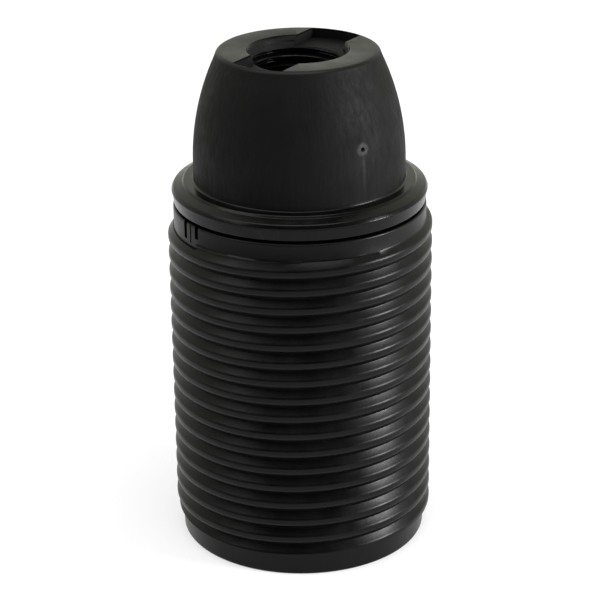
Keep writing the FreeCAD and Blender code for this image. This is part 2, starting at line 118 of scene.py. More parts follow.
# --- Cap: sizes shared with the solids ----------------------------------------------------------
SPIGOT_R = 11.62
SPIGOT_Z = 32.0
CAP_BORE_R = 10.37
CAP_BORE_TOP = 39.85
CAP_BORE_MID = 38.0          # the outlines of the cap's outside and inside meet here
CAP_RIM_Z = 37.85
CAP_TOP_Z = 53.9
COLLAR_R = 13.42
COLLAR_STEP = 0.07           # depth and height of the fine step
COLLAR_STEP_Z = 39.1
COLLAR_SIDE_Z = 39.22        # upper end of the collar's side
COLLAR_EDGE = (13.22, 39.57)     # radius and height of the edge between the two bevels
COLLAR_BEVEL = (12.3, 39.92)     # and of the upper bevel's inner end
SHELF_R = 12.13
SHELF_Z = 40.17
DOME_R = 11.1
DOME_ARC_R = 26.0
DOME_SPRING_Z = 42.07        # the dome is upright below this height
DOME_FOOT_Z = 41.2           # first two rows of the dome's upright part
DOME_ROWS_Z = 41.7
DOME_WALL = 1.7
CEILING_Z = 51.1
MATT_FROM = 40.2             # the dome is matt between these heights, outside this radius
MATT_TO = 53.5
MATT_R = 5.45
CONE_Z = 52.5                # and in the entry's cone, above this height
CROWN_R = 0.55
ENTRY_R = 4.46
ENTRY_ROOT_R = 5.02
ENTRY_PITCH = 1.0
ENTRY_GROOVE_W = 0.86        # width of the groove at the crest and at the root
ENTRY_ROOT_W = 0.14
ENTRY_SOFT = 0.12            # rounding of its corners, as a share of the flank
ENTRY_ROWS = (-0.5, -0.43, -0.36, -0.22, -0.1, 0.0, 0.1, 0.22, 0.36, 0.43)
ENTRY_BOTTOM = 46.9
ENTRY_MOUTH_R = 5.35         # the lead-in's cone meets the top face here
ENTRY_MOUTH_SLOPE = 0.65     # and narrows by this much a millimetre
BOSS_R = 6.16
SLOT_W = 5.9
SLOT_DEPTH = 1.1
SLOT_RIM = 0.4
SLOT_AZIMUTH = 57.5
KEY_INNER_R = 9.42
KEY_W = 2.0
KEY_TOP = 37.0
RIDGE_START = 33.65          # middle of the cap's joint ridge where it starts
RIDGE_TURNS = 0.75
RIDGE_R = 12.22
RIDGE_TOP_HALF = 0.24        # half its width at the top, and where it enters the spigot
RIDGE_FOOT_HALF = 0.97
GATE_AZIMUTH = 306.0         # mark of the injection point
GATE_Z = 45.9
GATE_RING = (                # (radius, height) points of the raised ring round it
    (0.1, -0.4), (0.68, -0.4), (0.66, 0.0), (0.55, 0.09),
    (0.42, 0.13), (0.32, 0.09), (0.26, 0.02), (0.1, -0.05),
)
GATE_PIT = ((0.1, -0.35), (0.22, -0.15), (0.3, 0.3))
FLOW_W = 0.3                 # line below the gate, with its height above the dome and its two ends
FLOW_H = 0.03
FLOW_BOTTOM = 40.77
FLOW_TOP = 45.4

# --- Contacts and terminals: sizes shared with the solids ---------------------------------------
STRIP_T = 0.4
LEG_X = 8.4
LEG_W = 3.2
TAB_X0 = 1.6
TAB_W = 5.2
TAB_Z = 37.2                 # middle of the terminal tabs
LEAF_Z = 29.2
LEAF_END_X = -2.2
LEAF_W = 3.8
LEAF_TIP_L = 1.9             # length of the rounded tip, and the width that its end keeps
LEAF_TIP_W = 0.02
SIDE_ELBOW_Z = 28.0          # corners of the side contact below its leg
SIDE_TIP = (6.6, 26.6)
SIDE_END = (7.3, 26.0)
BEND_R = 0.7                 # of the strips' middle line
TERMINAL_X = 4.6
HOLE_PLAY = 0.15             # radial play of the screw in the tab's hole
SCREW_R = 1.45
SCREW_PITCH = 0.5
SCREW_DEPTH = 0.28
SCREW_END = 33.6
SCREW_POINT_R = 1.0
SCREW_TAPER = 0.14           # the end tapers by this share over this height
SCREW_TAPER_H = 0.4
SCREW_NECK_R = 1.25          # plain neck under the head
SCREW_NECK_H = 0.3
HEAD_Z = 38.3
HEAD_R = 2.7
HEAD_H = 1.8
HEAD_SLOT_W = 0.7
HEAD_SLOT_DEPTH = 0.9
HEAD_SLOT_REACH = 4.0        # half the length of the slot's cutting tool
BUTTON_R = 1.8
BUTTON_UNDER = 28.95         # the button's shoulder, under the leaf
BUTTON_SIDE = 0.5            # height of its upright side
BUTTON_EDGE = 0.1
BUTTON_TIP = 27.25
STEM_R = 0.8
RIVET_R = 1.3
RIVET_Z = 29.45
RIVET_H = 0.5


# --- Turned and threaded meshes -----------------------------------------------------------------
def polar(radius, angle, z):
    return Vector((radius * math.cos(angle) * MM, radius * math.sin(angle) * MM, z * MM))


def skin(mesh, rows, shift=0):
    """Quads between rows of points. At the seam, a row meets the row that is shift further on."""
    points = [[mesh.verts.new(p) for p in row] for row in rows]
    count = len(points[0])
    for i in range(len(points) - 1):
        for j in range(count):
            k = (j + 1) % count
            step = shift if k == 0 else 0
            if i + 1 + step < len(points):
                near, far = points[i + step][k], points[i + 1 + step][k]
                mesh.faces.new((points[i][j], near, far, points[i + 1][j]))


def thread_at(radius, z):
    """Point of an outline that follows a thread's form at one height."""
    return (lambda angle: radius(angle, z)), z


def plain_rows(mesh, outline, columns=COLUMNS):
    """Turned skin through (r, z) points, where r may be a function of the angle."""
    angles = [TURN * j / columns for j in range(columns)]
    rows = []
    for r, z in outline:
        rows.append([polar(r(angle) if callable(r) else r, angle, z) for angle in angles])
    skin(mesh, rows)


def thread_rows(mesh, radius, z_low, z_high, pitch, phase_z, offsets, columns=COLUMNS):
    """Threaded skin between two heights. Its rows follow the right-hand helix, at the heights above
    the groove's middle that offsets gives for each pitch."""
    first = math.floor((z_low - phase_z) / pitch) - 2
    last = math.ceil((z_high - phase_z) / pitch) + 1
    rows = []
    for turn in range(first, last):
        for offset in offsets:
            row = []
            for j in range(columns):
                z = min(max(phase_z + offset + pitch * (turn + j / columns), z_low), z_high)
                row.append(polar(radius(TURN * j / columns, z), TURN * j / columns, z))
            rows.append(row)
    skin(mesh, rows, shift=len(offsets))


def evenly(pitch, count):
    return [pitch * k / count for k in range(count)]


def knee(x, soft):
    """0 below 0 and x above it, with the corner rounded over soft."""
    return max(x, 0.0) if abs(x) >= soft else (x + soft) ** 2 / (4 * soft)


def ramp(t, soft_low, soft_high):
    """0 below 0 and 1 above 1, with rounded corners."""
    return knee(t, soft_low) - knee(t - 1, soft_high)


def helix_offset(angle, z, pitch, phase_z):
    """Height above the nearest turn of a groove's middle, in millimetres."""
    turns = (z - phase_z) / pitch - angle / TURN
    return (turns - round(turns)) * pitch


def rounded(*corners):
    """(r, z) points of an outline. A corner with a third number gets that radius."""
    out = []
    for i, corner in enumerate(corners):
        here = Vector(corner[:2])
        if len(corner) < 3 or i in (0, len(corners) - 1):
            out.append(tuple(here))
            continue
        back = Vector(corners[i - 1][:2]) - here
        ahead = Vector(corners[i + 1][:2]) - here
        half = back.angle(ahead) / 2
        cut_back = min(corner[2] / math.tan(half), 0.48 * back.length, 0.48 * ahead.length)
        start = here + back.normalized() * cut_back
        end = here + ahead.normalized() * cut_back
        for k in range(5):
            t = k / 4
            out.append(tuple((1 - t) ** 2 * start + 2 * t * (1 - t) * here + t ** 2 * end))
    return out


def turned_arc(centre, radius, start, end, count):
    """(r, z) points along an arc, with angles in degrees from the +r direction."""
    out = []
    for k in range(count + 1):
        angle = math.radians(start + (end - start) * k / count)
        out.append((centre[0] + radius * math.cos(angle), centre[1] + radius * math.sin(angle)))
    return out


# --- Other mesh forms ---------------------------------------------------------------------------
def bar(mesh, sections):
    """Closed bar through sections, each a ring of points in the same order."""
    rings = [[mesh.verts.new(p) for p in section] for section in sections]
    mesh.faces.new(rings[0])
    mesh.faces.new(rings[-1][::-1])
    for low, high in zip(rings, rings[1:]):
        for i in range(len(low)):
            n = (i + 1) % len(low)
            mesh.faces.new((low[i], low[n], high[n], high[i]))


def prism(mesh, outline, width, turn):
    """Upright (x, z) outline, width thick, turned about +Z by degrees."""
    spin = Matrix.Rotation(math.radians(turn), 3, "Z")
    sides = (-width / 2, width / 2)
    bar(mesh, [[spin @ (Vector((x, y, z)) * MM) for x, z in outline] for y in sides])


def plan_prism(mesh, outline, z_low, z_high, turn):
    """Level (x, y) outline between two heights, turned about +Z by degrees."""
    spin = Matrix.Rotation(math.radians(turn), 3, "Z")
    bar(mesh, [[spin @ (Vector((x, y, z)) * MM) for x, y in outline] for z in (z_low, z_high)])


def helix_bar(mesh, profile, pitch, turns, start_z, start_angle):
    """Closed bar along a right-hand helix, of an (r, z) profile with its heights from start_z."""
    steps = math.ceil(turns * COLUMNS)
    sections = []
    for k in range(steps + 1):
        angle = start_angle + TURN * turns * k / steps
        climb = start_z + pitch * turns * k / steps
        sections.append([polar(r, angle, z + climb) for r, z in profile])
    bar(mesh, sections)


def rosette(mesh, place, normal, profile, columns=24):
    """Small closed form turned about a surface's normal, through (radius, height) points."""
    lie = Vector(normal).to_track_quat("Z", "Y").to_matrix()
    foot = Vector(place) * MM
    rows = []
    for r, h in profile:
        rows.append([foot + lie @ polar(r, TURN * j / columns, h) for j in range(columns)])
    skin(mesh, rows)
    for row in (rows[0], rows[-1]):
        mesh.faces.new([mesh.verts.new(p) for p in row])


def strip(mesh, path):
    """Bent sheet strip, centred on y = 0, through (x, z, width) points of its middle line."""
    sections = []
    for i, (x, z, width) in enumerate(path):
        before = path[max(i - 1, 0)]
        after = path[min(i + 1, len(path) - 1)]
        along = Vector((after[0] - before[0], after[1] - before[1])).normalized()
        out = Vector((-along.y, along.x)) * STRIP_T / 2
        corners = ((1, 0.5), (-1, 0.5), (-1, -0.5), (1, -0.5))
        sections.append([Vector((x + s * out.x, w * width, z + s * out.y)) * MM
                         for s, w in corners])
    bar(mesh, sections)


def bend(corner, before, after, width_before, width_after, radius=BEND_R):
    """(x, z, width) points round a strip's corner, between the directions to two other points."""
    corner = Vector(corner)
    back = (Vector(before) - corner).normalized()
    ahead = (Vector(after) - corner).normalized()
    half = back.angle(ahead) / 2
    reach = radius / math.tan(half)
    centre = corner + (back + ahead).normalized() * radius / math.sin(half)
    start = corner + back * reach - centre
    turn = start.angle_signed(corner + ahead * reach - centre)
    out = []
    for t in (k / 8 for k in range(9)):
        point = centre + Matrix.Rotation(-turn * t, 2) @ start
        out.append((point.x, point.y, width_before + (width_after - width_before) * t))
    return out


def piece(name, mesh, weld=True):
    if weld:
        bmesh.ops.remove_doubles(mesh, verts=mesh.verts, dist=WELD * MM)
        bmesh.ops.dissolve_degenerate(mesh, edges=mesh.edges, dist=WELD * MM / 10)
    bmesh.ops.recalc_face_normals(mesh, faces=mesh.faces)
    data = bpy.data.meshes.new(name)
    mesh.to_mesh(data)
    mesh.free()
    obj = bpy.data.objects.new(name, data)
    bpy.context.scene.collection.objects.link(obj)
    return obj


def cut(obj, tools):
    """Takes each tool's volume out of the piece."""
    for tool in tools:
        step = obj.modifiers.new("cut", "BOOLEAN")
        step.operation = "DIFFERENCE"
        step.solver = "EXACT"
        step.object = tool
    graph = bpy.context.evaluated_depsgraph_get()
    data = bpy.data.meshes.new_from_object(obj.evaluated_get(graph))
    obj.modifiers.clear()
    obj.data = data
    for tool in tools:
        bpy.data.objects.remove(tool)


def smooth(obj):
    for face in obj.data.polygons:
        face.use_smooth = True
    obj.data.set_sharp_from_angle(angle=math.radians(SMOOTH_UNDER))


# --- Skirt --------------------------------------------------------------------------------------
def shade_radius(angle, z):
    """Ridges with rounded edges over a sharp root, eased at the thread's upper end."""
    offset = helix_offset(angle, z, SHADE_PITCH, SHADE_PHASE)
    flank, soft = SHADE_LOWER_FLANK, SHADE_LOWER_SOFT
    if offset < 0:
        flank, soft = SHADE_UPPER_FLANK, SHADE_UPPER_SOFT
    rise = ramp((abs(offset) - SHADE_ROOT_W / 2) / flank, SHADE_ROOT_SOFT, soft)
    fade = min(max((THREAD_TOP - z) / THREAD_EASE_H, 0.0), 1.0)
    return CREST_R - SHADE_DEPTH * (1 - rise) - THREAD_EASE * (1 - fade) ** 2


def joint_radius(angle, z):
    """Groove for the cap's ridge. There is none below the turn where it starts."""
    if round((z - JOINT_START) / JOINT_PITCH - angle / TURN) < 0:
        return JOINT_R
    away = abs(helix_offset(angle, z, JOINT_PITCH, JOINT_START))
    depth = (JOINT_GROOVE_W / 2 - away) / JOINT_FLANK * JOINT_DEPTH
    return JOINT_R + min(max(depth, 0.0), JOINT_DEPTH)


def lamp_radius(angle, z):
    """Rolled lamp thread: a wave."""
    offset = helix_offset(angle, z, SOCKET_PITCH, SOCKET_BOTTOM)
    return SOCKET_R + SOCKET_DEPTH * (0.5 + 0.5 * math.cos(TURN * offset / SOCKET_PITCH))


def skirt_shell():
    mesh = bmesh.new()
    skirt_outside(mesh)
    skirt_inside(mesh)
    bmesh.ops.remove_doubles(mesh, verts=mesh.verts, dist=WELD * MM)
    ribs(mesh)
    obj = piece("skirt_shell", mesh)
    cut(obj, lock_tools())
    return obj


def skirt_outside(mesh):
    """From the web down the bore, round the lip, over the shade thread and round the neck."""
    lip = rounded((BORE_R, WEB_Z), (BORE_R, 0, 0.15), (LIP_R, 0, 0.3), (LIP_R, LIP_Z, 0.25),
                  (CREST_R - 0.2, THREAD_BOTTOM))
    lip[-1] = thread_at(shade_radius, THREAD_BOTTOM)
    plain_rows(mesh, lip)
    thread_rows(mesh, shade_radius, THREAD_BOTTOM, THREAD_TOP, SHADE_PITCH, SHADE_PHASE, SHADE_ROWS)
    foot = [thread_at(shade_radius, THREAD_TOP), (NECK_R + 0.05, THREAD_TOP + 0.08)]
    neck = rounded((NECK_R, THREAD_TOP + 0.2), (NECK_R, SKIRT_TOP, 0.2), (JOINT_R, SKIRT_TOP, 0.12),
                   (JOINT_R, JOINT_TOP))
    neck[-1] = thread_at(joint_radius, JOINT_TOP)
    plain_rows(mesh, foot + neck)


def skirt_inside(mesh):
    """From the joint thread over the ledge, down the contact chamber and the lamp thread, then up
    the sleeve."""
    thread_rows(mesh, joint_radius, JOINT_BOTTOM, JOINT_TOP, JOINT_PITCH, JOINT_START, JOINT_ROWS)
    ledge = rounded((JOINT_R, JOINT_BOTTOM), (JOINT_R, LEDGE_Z, 0.15), (CHAMBER_R, LEDGE_Z, 0.15),
                    (CHAMBER_R, CHAMBER_FLOOR, 0.15), (RELIEF_R, CHAMBER_FLOOR, 0.2),
                    (RELIEF_R, SOCKET_TOP + SOCKET_LEAD, 0.3), (SOCKET_R, SOCKET_TOP))
    ledge[0] = thread_at(joint_radius, JOINT_BOTTOM)
    ledge[-1] = thread_at(lamp_radius, SOCKET_TOP)
    plain_rows(mesh, ledge)
    thread_rows(mesh, lamp_radius, SOCKET_BOTTOM, SOCKET_TOP, SOCKET_PITCH, SOCKET_BOTTOM,
                evenly(SOCKET_PITCH, 13))
    sleeve = rounded((SOCKET_R, SOCKET_BOTTOM), (RELIEF_R, SOCKET_BOTTOM - SOCKET_LEAD, 0.3),
                     (RELIEF_R, SLEEVE_Z + 0.5, 0.2), (RELIEF_R + 0.5, SLEEVE_Z, 0.1),
                     (SLEEVE_R, SLEEVE_Z, 0.15), (SLEEVE_R, CUP_Z, 0.3), (CUP_R, CUP_Z, 0.2),
                     (CUP_R, WEB_Z, 0.3), (BORE_R, WEB_Z))
    sleeve[0] = thread_at(lamp_radius, SOCKET_BOTTOM)
    plain_rows(mesh, sleeve)


def ribs(mesh):
    """Four ribs between the bore's wall and the sleeve with its cup."""
    sleeve, cup, bore = SLEEVE_R - BITE, CUP_R - BITE, BORE_R + BITE
    outline = [(sleeve, RIB_Z), (bore, RIB_Z), (bore, WEB_Z + BITE), (cup, WEB_Z + BITE),
               (cup, CUP_Z + BITE), (sleeve, CUP_Z + BITE)]
    for turn in (45, 135, 225, 315):
        prism(mesh, outline, RIB_T, turn)


def lock_tools():
    """Slots beside the locking tongue, its fine groove, and the relief where the thread stops."""
    tools = []
    outer = CREST_R + CLEAR
    for azimuth, width, height, bottom in LOCK_SLOTS:
        low, high = SKIRT_TOP - height, SKIRT_TOP + CLEAR
        mesh = bmesh.new()
        prism(mesh, [(bottom, low), (outer, low), (outer, high), (bottom, high)], width, azimuth)
        tools.append(piece("slot_tool", mesh))
    low, high = THREAD_TOP - SHADE_DEPTH, THREAD_TOP + 0.6
    profile = [(NECK_R, low), (outer, low), (outer, high), (NECK_R, high)]
    mesh = bmesh.new()
    helix_bar(mesh, profile, 0, (LOCK_TO - LOCK_FROM) / 360, 0, math.radians(LOCK_FROM))
    tools.append(piece("relief_tool", mesh))
    return tools


# --- Cap ----------------------------------------------------------------------------------------
def dome_radius(z, inset=0.0):
    radius = DOME_ARC_R - inset
    return DOME_R - DOME_ARC_R + math.sqrt(radius ** 2 - max(0.0, z - DOME_SPRING_Z) ** 2)


def entry_radius(angle, z):
    """Metric thread with flat crests inwards and a narrow root, opened by the cone at its mouth."""
    width = abs(helix_offset(angle, z, ENTRY_PITCH, 0.0)) * 2
    depth = ramp((ENTRY_GROOVE_W - width) / (ENTRY_GROOVE_W - ENTRY_ROOT_W), ENTRY_SOFT, ENTRY_SOFT)
    cone = ENTRY_MOUTH_R - ENTRY_MOUTH_SLOPE * (CAP_TOP_Z - z)
    return max(ENTRY_R + (ENTRY_ROOT_R - ENTRY_R) * depth, cone)


def collar_outline():
    """From the bore round the spigot, over the rim, the fine step, the bevels and the shelf."""
    return rounded((CAP_BORE_R, CAP_BORE_MID), (CAP_BORE_R, SPIGOT_Z, 0.1),
                   (SPIGOT_R, SPIGOT_Z, 0.3), (SPIGOT_R, CAP_RIM_Z, 0.1),
                   (NECK_R - 0.1, CAP_RIM_Z, 0.16),
                   (COLLAR_R - COLLAR_STEP, COLLAR_STEP_Z - COLLAR_STEP, 0.05),
                   (COLLAR_R, COLLAR_STEP_Z, 0.04), (COLLAR_R, COLLAR_SIDE_Z, 0.15),
                   (*COLLAR_EDGE, 0.22), (*COLLAR_BEVEL, 0.1),
                   (SHELF_R, SHELF_Z, 0.14), (DOME_R, SHELF_Z, 0.25), (DOME_R, DOME_FOOT_Z))


def dome_outline():
    """From the dome's upright foot over the crown and the top face to the entry's mouth."""
    crown_z = CAP_TOP_Z - CROWN_R
    rise = crown_z - DOME_SPRING_Z
    heights = [DOME_ROWS_Z] + [DOME_SPRING_Z + rise * k / 26 for k in range(26)]
    crown = turned_arc((dome_radius(crown_z) - CROWN_R, crown_z), CROWN_R, 12, 90, 7)
    top = [(crown[-1][0] - 0.4, CAP_TOP_Z), (ENTRY_MOUTH_R + 0.05, CAP_TOP_Z),
           (ENTRY_MOUTH_R - 0.02, CAP_TOP_Z - 0.02)]
    return [(dome_radius(z), z) for z in heights] + crown + top


def hollow_outline(low):
    """From the entry's lower end round the boss, under the ceiling and down to the cap's bore."""
    return rounded((ENTRY_R, low), (ENTRY_R + 0.2, ENTRY_BOTTOM), (BOSS_R, ENTRY_BOTTOM, 0.2),
                   (BOSS_R, CEILING_Z, 0.3), (dome_radius(CEILING_Z, DOME_WALL), CEILING_Z, 0.4),
                   (dome_radius(48.0, DOME_WALL), 48.0), (dome_radius(45.0, DOME_WALL), 45.0),
                   (DOME_R - DOME_WALL, DOME_SPRING_Z), (DOME_R - DOME_WALL, CAP_BORE_TOP, 0.2),
                   (CAP_BORE_R, CAP_BORE_TOP, 0.2), (CAP_BORE_R, CAP_BORE_MID))


def cap_shell():
    mesh = bmesh.new()
    low, high = ENTRY_BOTTOM + 0.2, CAP_TOP_Z - 0.06
    plain_rows(mesh, collar_outline() + dome_outline() + [thread_at(entry_radius, high)])
    thread_rows(mesh, entry_radius, low, high, ENTRY_PITCH, 0.0, ENTRY_ROWS)
    plain_rows(mesh, [thread_at(entry_radius, low)] + hollow_outline(low)[1:])
    bmesh.ops.remove_doubles(mesh, verts=mesh.verts, dist=WELD * MM)
    joint_ridge(mesh)
    keys(mesh)
    gate_mark(mesh)
    obj = piece("cap_shell", mesh)
    cut(obj, [slot_tool(), gate_tool()])
    return obj


def keys(mesh):
    """Two keys in the bore that hold the core."""
    inner, outer = KEY_INNER_R, CAP_BORE_R + BITE
    low, high = SPIGOT_Z + 0.1, KEY_TOP
    for turn in (90, 270):
        prism(mesh, [(inner, low), (outer, low), (outer, high), (inner, high)], KEY_W, turn)


def joint_ridge(mesh):
    """Ridge on the spigot that runs in the skirt's groove."""
    inner = SPIGOT_R - BITE
    profile = [(inner, -RIDGE_FOOT_HALF), (RIDGE_R, -RIDGE_TOP_HALF),
               (RIDGE_R, RIDGE_TOP_HALF), (inner, RIDGE_FOOT_HALF)]
    start_angle = (RIDGE_START - JOINT_START) / JOINT_PITCH * TURN
    helix_bar(mesh, profile, JOINT_PITCH, RIDGE_TURNS, RIDGE_START, start_angle)


def gate_frame():
    """Point and outward normal of the injection mark on the dome."""
    angle = math.radians(GATE_AZIMUTH)
    lift = math.asin((GATE_Z - DOME_SPRING_Z) / DOME_ARC_R)
    place = polar(dome_radius(GATE_Z), angle, GATE_Z) / MM
    normal = (math.cos(angle) * math.cos(lift), math.sin(angle) * math.cos(lift), math.sin(lift))
    return place, normal


def gate_mark(mesh):
    """Raised ring round the injection point, and the faint flow line down from it."""
    rosette(mesh, *gate_frame(), GATE_RING)
    levels = [FLOW_BOTTOM + (FLOW_TOP - FLOW_BOTTOM) * k / 6 for k in range(7)]
    outline = [(dome_radius(z) + FLOW_H, z) for z in levels]
    outline += [(dome_radius(z) - BITE, z) for z in levels[::-1]]
    prism(mesh, outline, FLOW_W, GATE_AZIMUTH)


def gate_tool():
    mesh = bmesh.new()
    rosette(mesh, *gate_frame(), GATE_PIT)
    return piece("gate_tool", mesh)


def slot_tool():
    """Slot across the top face, whose ends follow the dome's edge."""
    reach = dome_radius(CAP_TOP_Z - CROWN_R) - SLOT_RIM
    half = math.degrees(math.asin(SLOT_W / 2 / reach))
    near = turned_arc((0, 0), reach, -half, half, 12)
    far = turned_arc((0, 0), reach, 180 - half, 180 + half, 12)
    mesh = bmesh.new()
    plan_prism(mesh, near + far, CAP_TOP_Z - SLOT_DEPTH, CAP_TOP_Z + CLEAR, SLOT_AZIMUTH)
    return piece("slot_tool", mesh)


# --- Contacts and terminals ---------------------------------------------------------------------
def hole_tool():
    """Hole for the screw through a terminal tab."""
    radius = SCREW_R + HOLE_PLAY
    outline = [(radius, TAB_Z - CLEAR), (radius, TAB_Z + CLEAR)]
    mesh = bmesh.new()
    rosette(mesh, (TERMINAL_X, 0, 0), (0, 0, 1), outline, SMALL_COLUMNS)
    return piece("hole_tool", mesh)


def mirror_x(obj):
    obj.data.transform(Matrix.Scale(-1, 4, (1, 0, 0)))
    obj.data.flip_normals()


def soften(obj):
    """Small round on the piece's sharp edges."""
    step = obj.modifiers.new("soften", "BEVEL")
    step.width = EDGE_ROUND * MM
    step.segments = 2
    step.limit_method = "ANGLE"
    step.angle_limit = math.radians(40)


def tab_path():
    """Terminal tab, with its inner corners taken off, up to where it narrows to the leg's width."""
    points = [(TAB_X0, TAB_W - 1.0), (TAB_X0 + 0.2, TAB_W - 0.3), (TAB_X0 + 0.5, TAB_W),
              (LEG_X - 1.6, TAB_W), (LEG_X - 1.1, LEG_W)]
    return [(x, TAB_Z, width) for x, width in points]


def centre_leaf():
    corner = (LEG_X, TAB_Z)
    foot = (LEG_X, LEAF_Z)
    path = tab_path() + bend(corner, (0, TAB_Z), foot, LEG_W, LEG_W)
    path += bend(foot, corner, (0, LEAF_Z), LEG_W, LEAF_W)
    for t in (math.pi / 2 * k / 8 for k in range(9)):
        x = LEAF_END_X + LEAF_TIP_L * (1 - math.sin(t))
        path.append((x, LEAF_Z, LEAF_W * math.cos(t) + LEAF_TIP_W))
    mesh = bmesh.new()
    strip(mesh, path)
    obj = piece("centre_contact_strip", mesh)
    cut(obj, [hole_tool()])
    return obj


def side_leaf():
    corner = (LEG_X, TAB_Z)
    elbow = (LEG_X, SIDE_ELBOW_Z)
    path = tab_path() + bend(corner, (0, TAB_Z), elbow, LEG_W, LEG_W)
    path += bend(elbow, corner, SIDE_TIP, LEG_W, LEG_W, 0.6)
    path += bend(SIDE_TIP, elbow, SIDE_END, LEG_W, LEG_W, 0.35) + [(*SIDE_END, LEG_W)]
    mesh = bmesh.new()
    strip(mesh, path)
    obj = piece("side_contact_strip", mesh)
    cut(obj, [hole_tool()])
    mirror_x(obj)
    return obj


def button():
    """Domed pip with its stem and rivet head."""
    side_z = BUTTON_UNDER - BUTTON_SIDE
    dome = [(BUTTON_R * math.sin(t), side_z - (side_z - BUTTON_TIP) * math.cos(t))
            for t in (math.pi / 2 * k / 10 for k in range(1, 11))]
    shoulder = [(BUTTON_R, BUTTON_UNDER - BUTTON_EDGE), (BUTTON_R - BUTTON_EDGE, BUTTON_UNDER)]
    stem = [(STEM_R, BUTTON_UNDER), (STEM_R, RIVET_Z)]
    rivet = turned_arc((RIVET_R - RIVET_H, RIVET_Z), RIVET_H, 0, 80, 6)
    ends = [(AXIS_R, BUTTON_TIP), (AXIS_R, RIVET_Z + RIVET_H)]
    mesh = bmesh.new()
    plain_rows(mesh, ends[:1] + dome + shoulder + stem + rivet + ends[1:], SMALL_COLUMNS)
    return piece("contact_pip", mesh)


def screw_radius(angle, z):
    """Screw thread that tapers a little towards its end."""
    fade = min(max((z - SCREW_END) / SCREW_TAPER_H, 0.0), 1.0)
    wave = 0.5 + 0.5 * math.cos(TURN * helix_offset(angle, z, SCREW_PITCH, 0.0) / SCREW_PITCH)
    return (SCREW_R - SCREW_DEPTH * wave) * (1 - SCREW_TAPER * (1 - fade))


def screw(name, x):
    """Slotted cheese-head screw with its thread."""
    low, high = SCREW_END + 0.1, HEAD_Z - SCREW_NECK_H
    top = HEAD_Z + HEAD_H
    mesh = bmesh.new()
    end = [(AXIS_R, SCREW_END), (SCREW_POINT_R, SCREW_END), thread_at(screw_radius, low)]
    plain_rows(mesh, end, SMALL_COLUMNS)
    heights = evenly(SCREW_PITCH, 8)
    thread_rows(mesh, screw_radius, low, high, SCREW_PITCH, 0.0, heights, SMALL_COLUMNS)
    head = rounded((SCREW_NECK_R, high + 0.1), (SCREW_NECK_R, HEAD_Z, 0.1), (HEAD_R, HEAD_Z, 0.15),
                   (HEAD_R, top - 0.12, 0.3), (HEAD_R - 0.9, top), (AXIS_R, top))
    plain_rows(mesh, [thread_at(screw_radius, high)] + head, SMALL_COLUMNS)
    for vertex in mesh.verts:
        vertex.co.x += x * MM
    obj = piece(name, mesh)
    floor, above = top - HEAD_SLOT_DEPTH, top + CLEAR
    left, right = x - HEAD_SLOT_REACH, x + HEAD_SLOT_REACH
    tool = bmesh.new()
    prism(tool, [(left, floor), (right, floor), (right, above), (left, above)], HEAD_SLOT_W, 0)
    cut(obj, [piece("slot_tool", tool)])
    return obj


# --- Finishes -----------------------------------------------------------------------------------
SPREAD = (0.3, 0.7)          # most of a noise lies between these two

# Base colours, linear: each pair is the darker and the lighter cloud.
SHELL = ((0.0008, 0.0008, 0.0008), (0.0018, 0.0018, 0.0017))
CORE = ((0.006, 0.0055, 0.005), (0.014, 0.013, 0.012))
WORN_PLASTIC = (0.012, 0.012, 0.0115)
STRESSED_PLASTIC = (0.045, 0.045, 0.043)
CLEAN_BRASS = (0.68, 0.47, 0.17)
BROWN_BRASS = (0.4, 0.24, 0.08)
WORN_BRASS = (0.86, 0.66, 0.3)
BLUE_ZINC = (0.52, 0.54, 0.56)
YELLOW_ZINC = (0.5, 0.47, 0.38)
WORN_ZINC = (0.78, 0.79, 0.8)

SKIN_ROUGH = (0.28, 0.4)     # roughness of the shells: thread and neck, collar, entry,
COLLAR_ROUGH = (0.16, 0.26)  # the dome's matt skin, and the stressed plastic at the gate
ENTRY_ROUGH = 0.17
DOME_ROUGH = (0.56, 0.76)
STRESSED_ROUGH = 0.4


class Shading:
    """Short calls that add nodes to one node tree."""

    def __init__(self, tree):
        self.tree = tree

    def node(self, kind, **values):
        node = self.tree.nodes.new("ShaderNode" + kind)
        for key, value in values.items():
            if hasattr(node, key):
                setattr(node, key, value)
            else:
                node.inputs[key].default_value = value
        return node

    def link(self, out, target):
        self.tree.links.new(out, target)

    def mapped(self, value, low, high, to_low, to_high):
        node = self.node("MapRange")
        node.inputs["From Min"].default_value = low
        node.inputs["From Max"].default_value = high
        node.inputs["To Min"].default_value = to_low
        node.inputs["To Max"].default_value = to_high
        self.link(value, node.inputs["Value"])
        return node.outputs["Result"]

    def blend(self, factor, first, second):
        """Colour between two: each is a colour or another node's output."""
        mix = self.node("Mix", data_type="RGBA")
        self.link(factor, mix.inputs["Factor"])
        for socket, colour in ((mix.inputs[6], first), (mix.inputs[7], second)):
            if isinstance(colour, tuple):
                socket.default_value = colour + (1,)
            else:
                self.link(colour, socket)
        return mix.outputs[2]

    def ranged(self, factor, first, second):
        """Number between two: each is a number or another node's output."""
        mix = self.node("Mix")
        self.link(factor, mix.inputs["Factor"])
        for socket, value in ((mix.inputs["A"], first), (mix.inputs["B"], second)):
            if isinstance(value, (int, float)):
                socket.default_value = value
            else:
                self.link(value, socket)
        return mix.outputs["Result"]

    def maths(self, operation, first, second):
        node = self.node("Math", operation=operation)
        for socket, value in zip(node.inputs, (first, second)):
            if isinstance(value, (int, float)):
                socket.default_value = value
            else:
                self.link(value, socket)
        return node.outputs["Value"]

    def seen_directly(self):
        """Camera rays alone, and camera, glossy and transmission rays together."""
        path = self.node("LightPath").outputs
        direct = self.maths("MAXIMUM", path["Is Glossy Ray"], path["Is Transmission Ray"])
        return path["Is Camera Ray"], self.maths("MAXIMUM", path["Is Camera Ray"], direct)


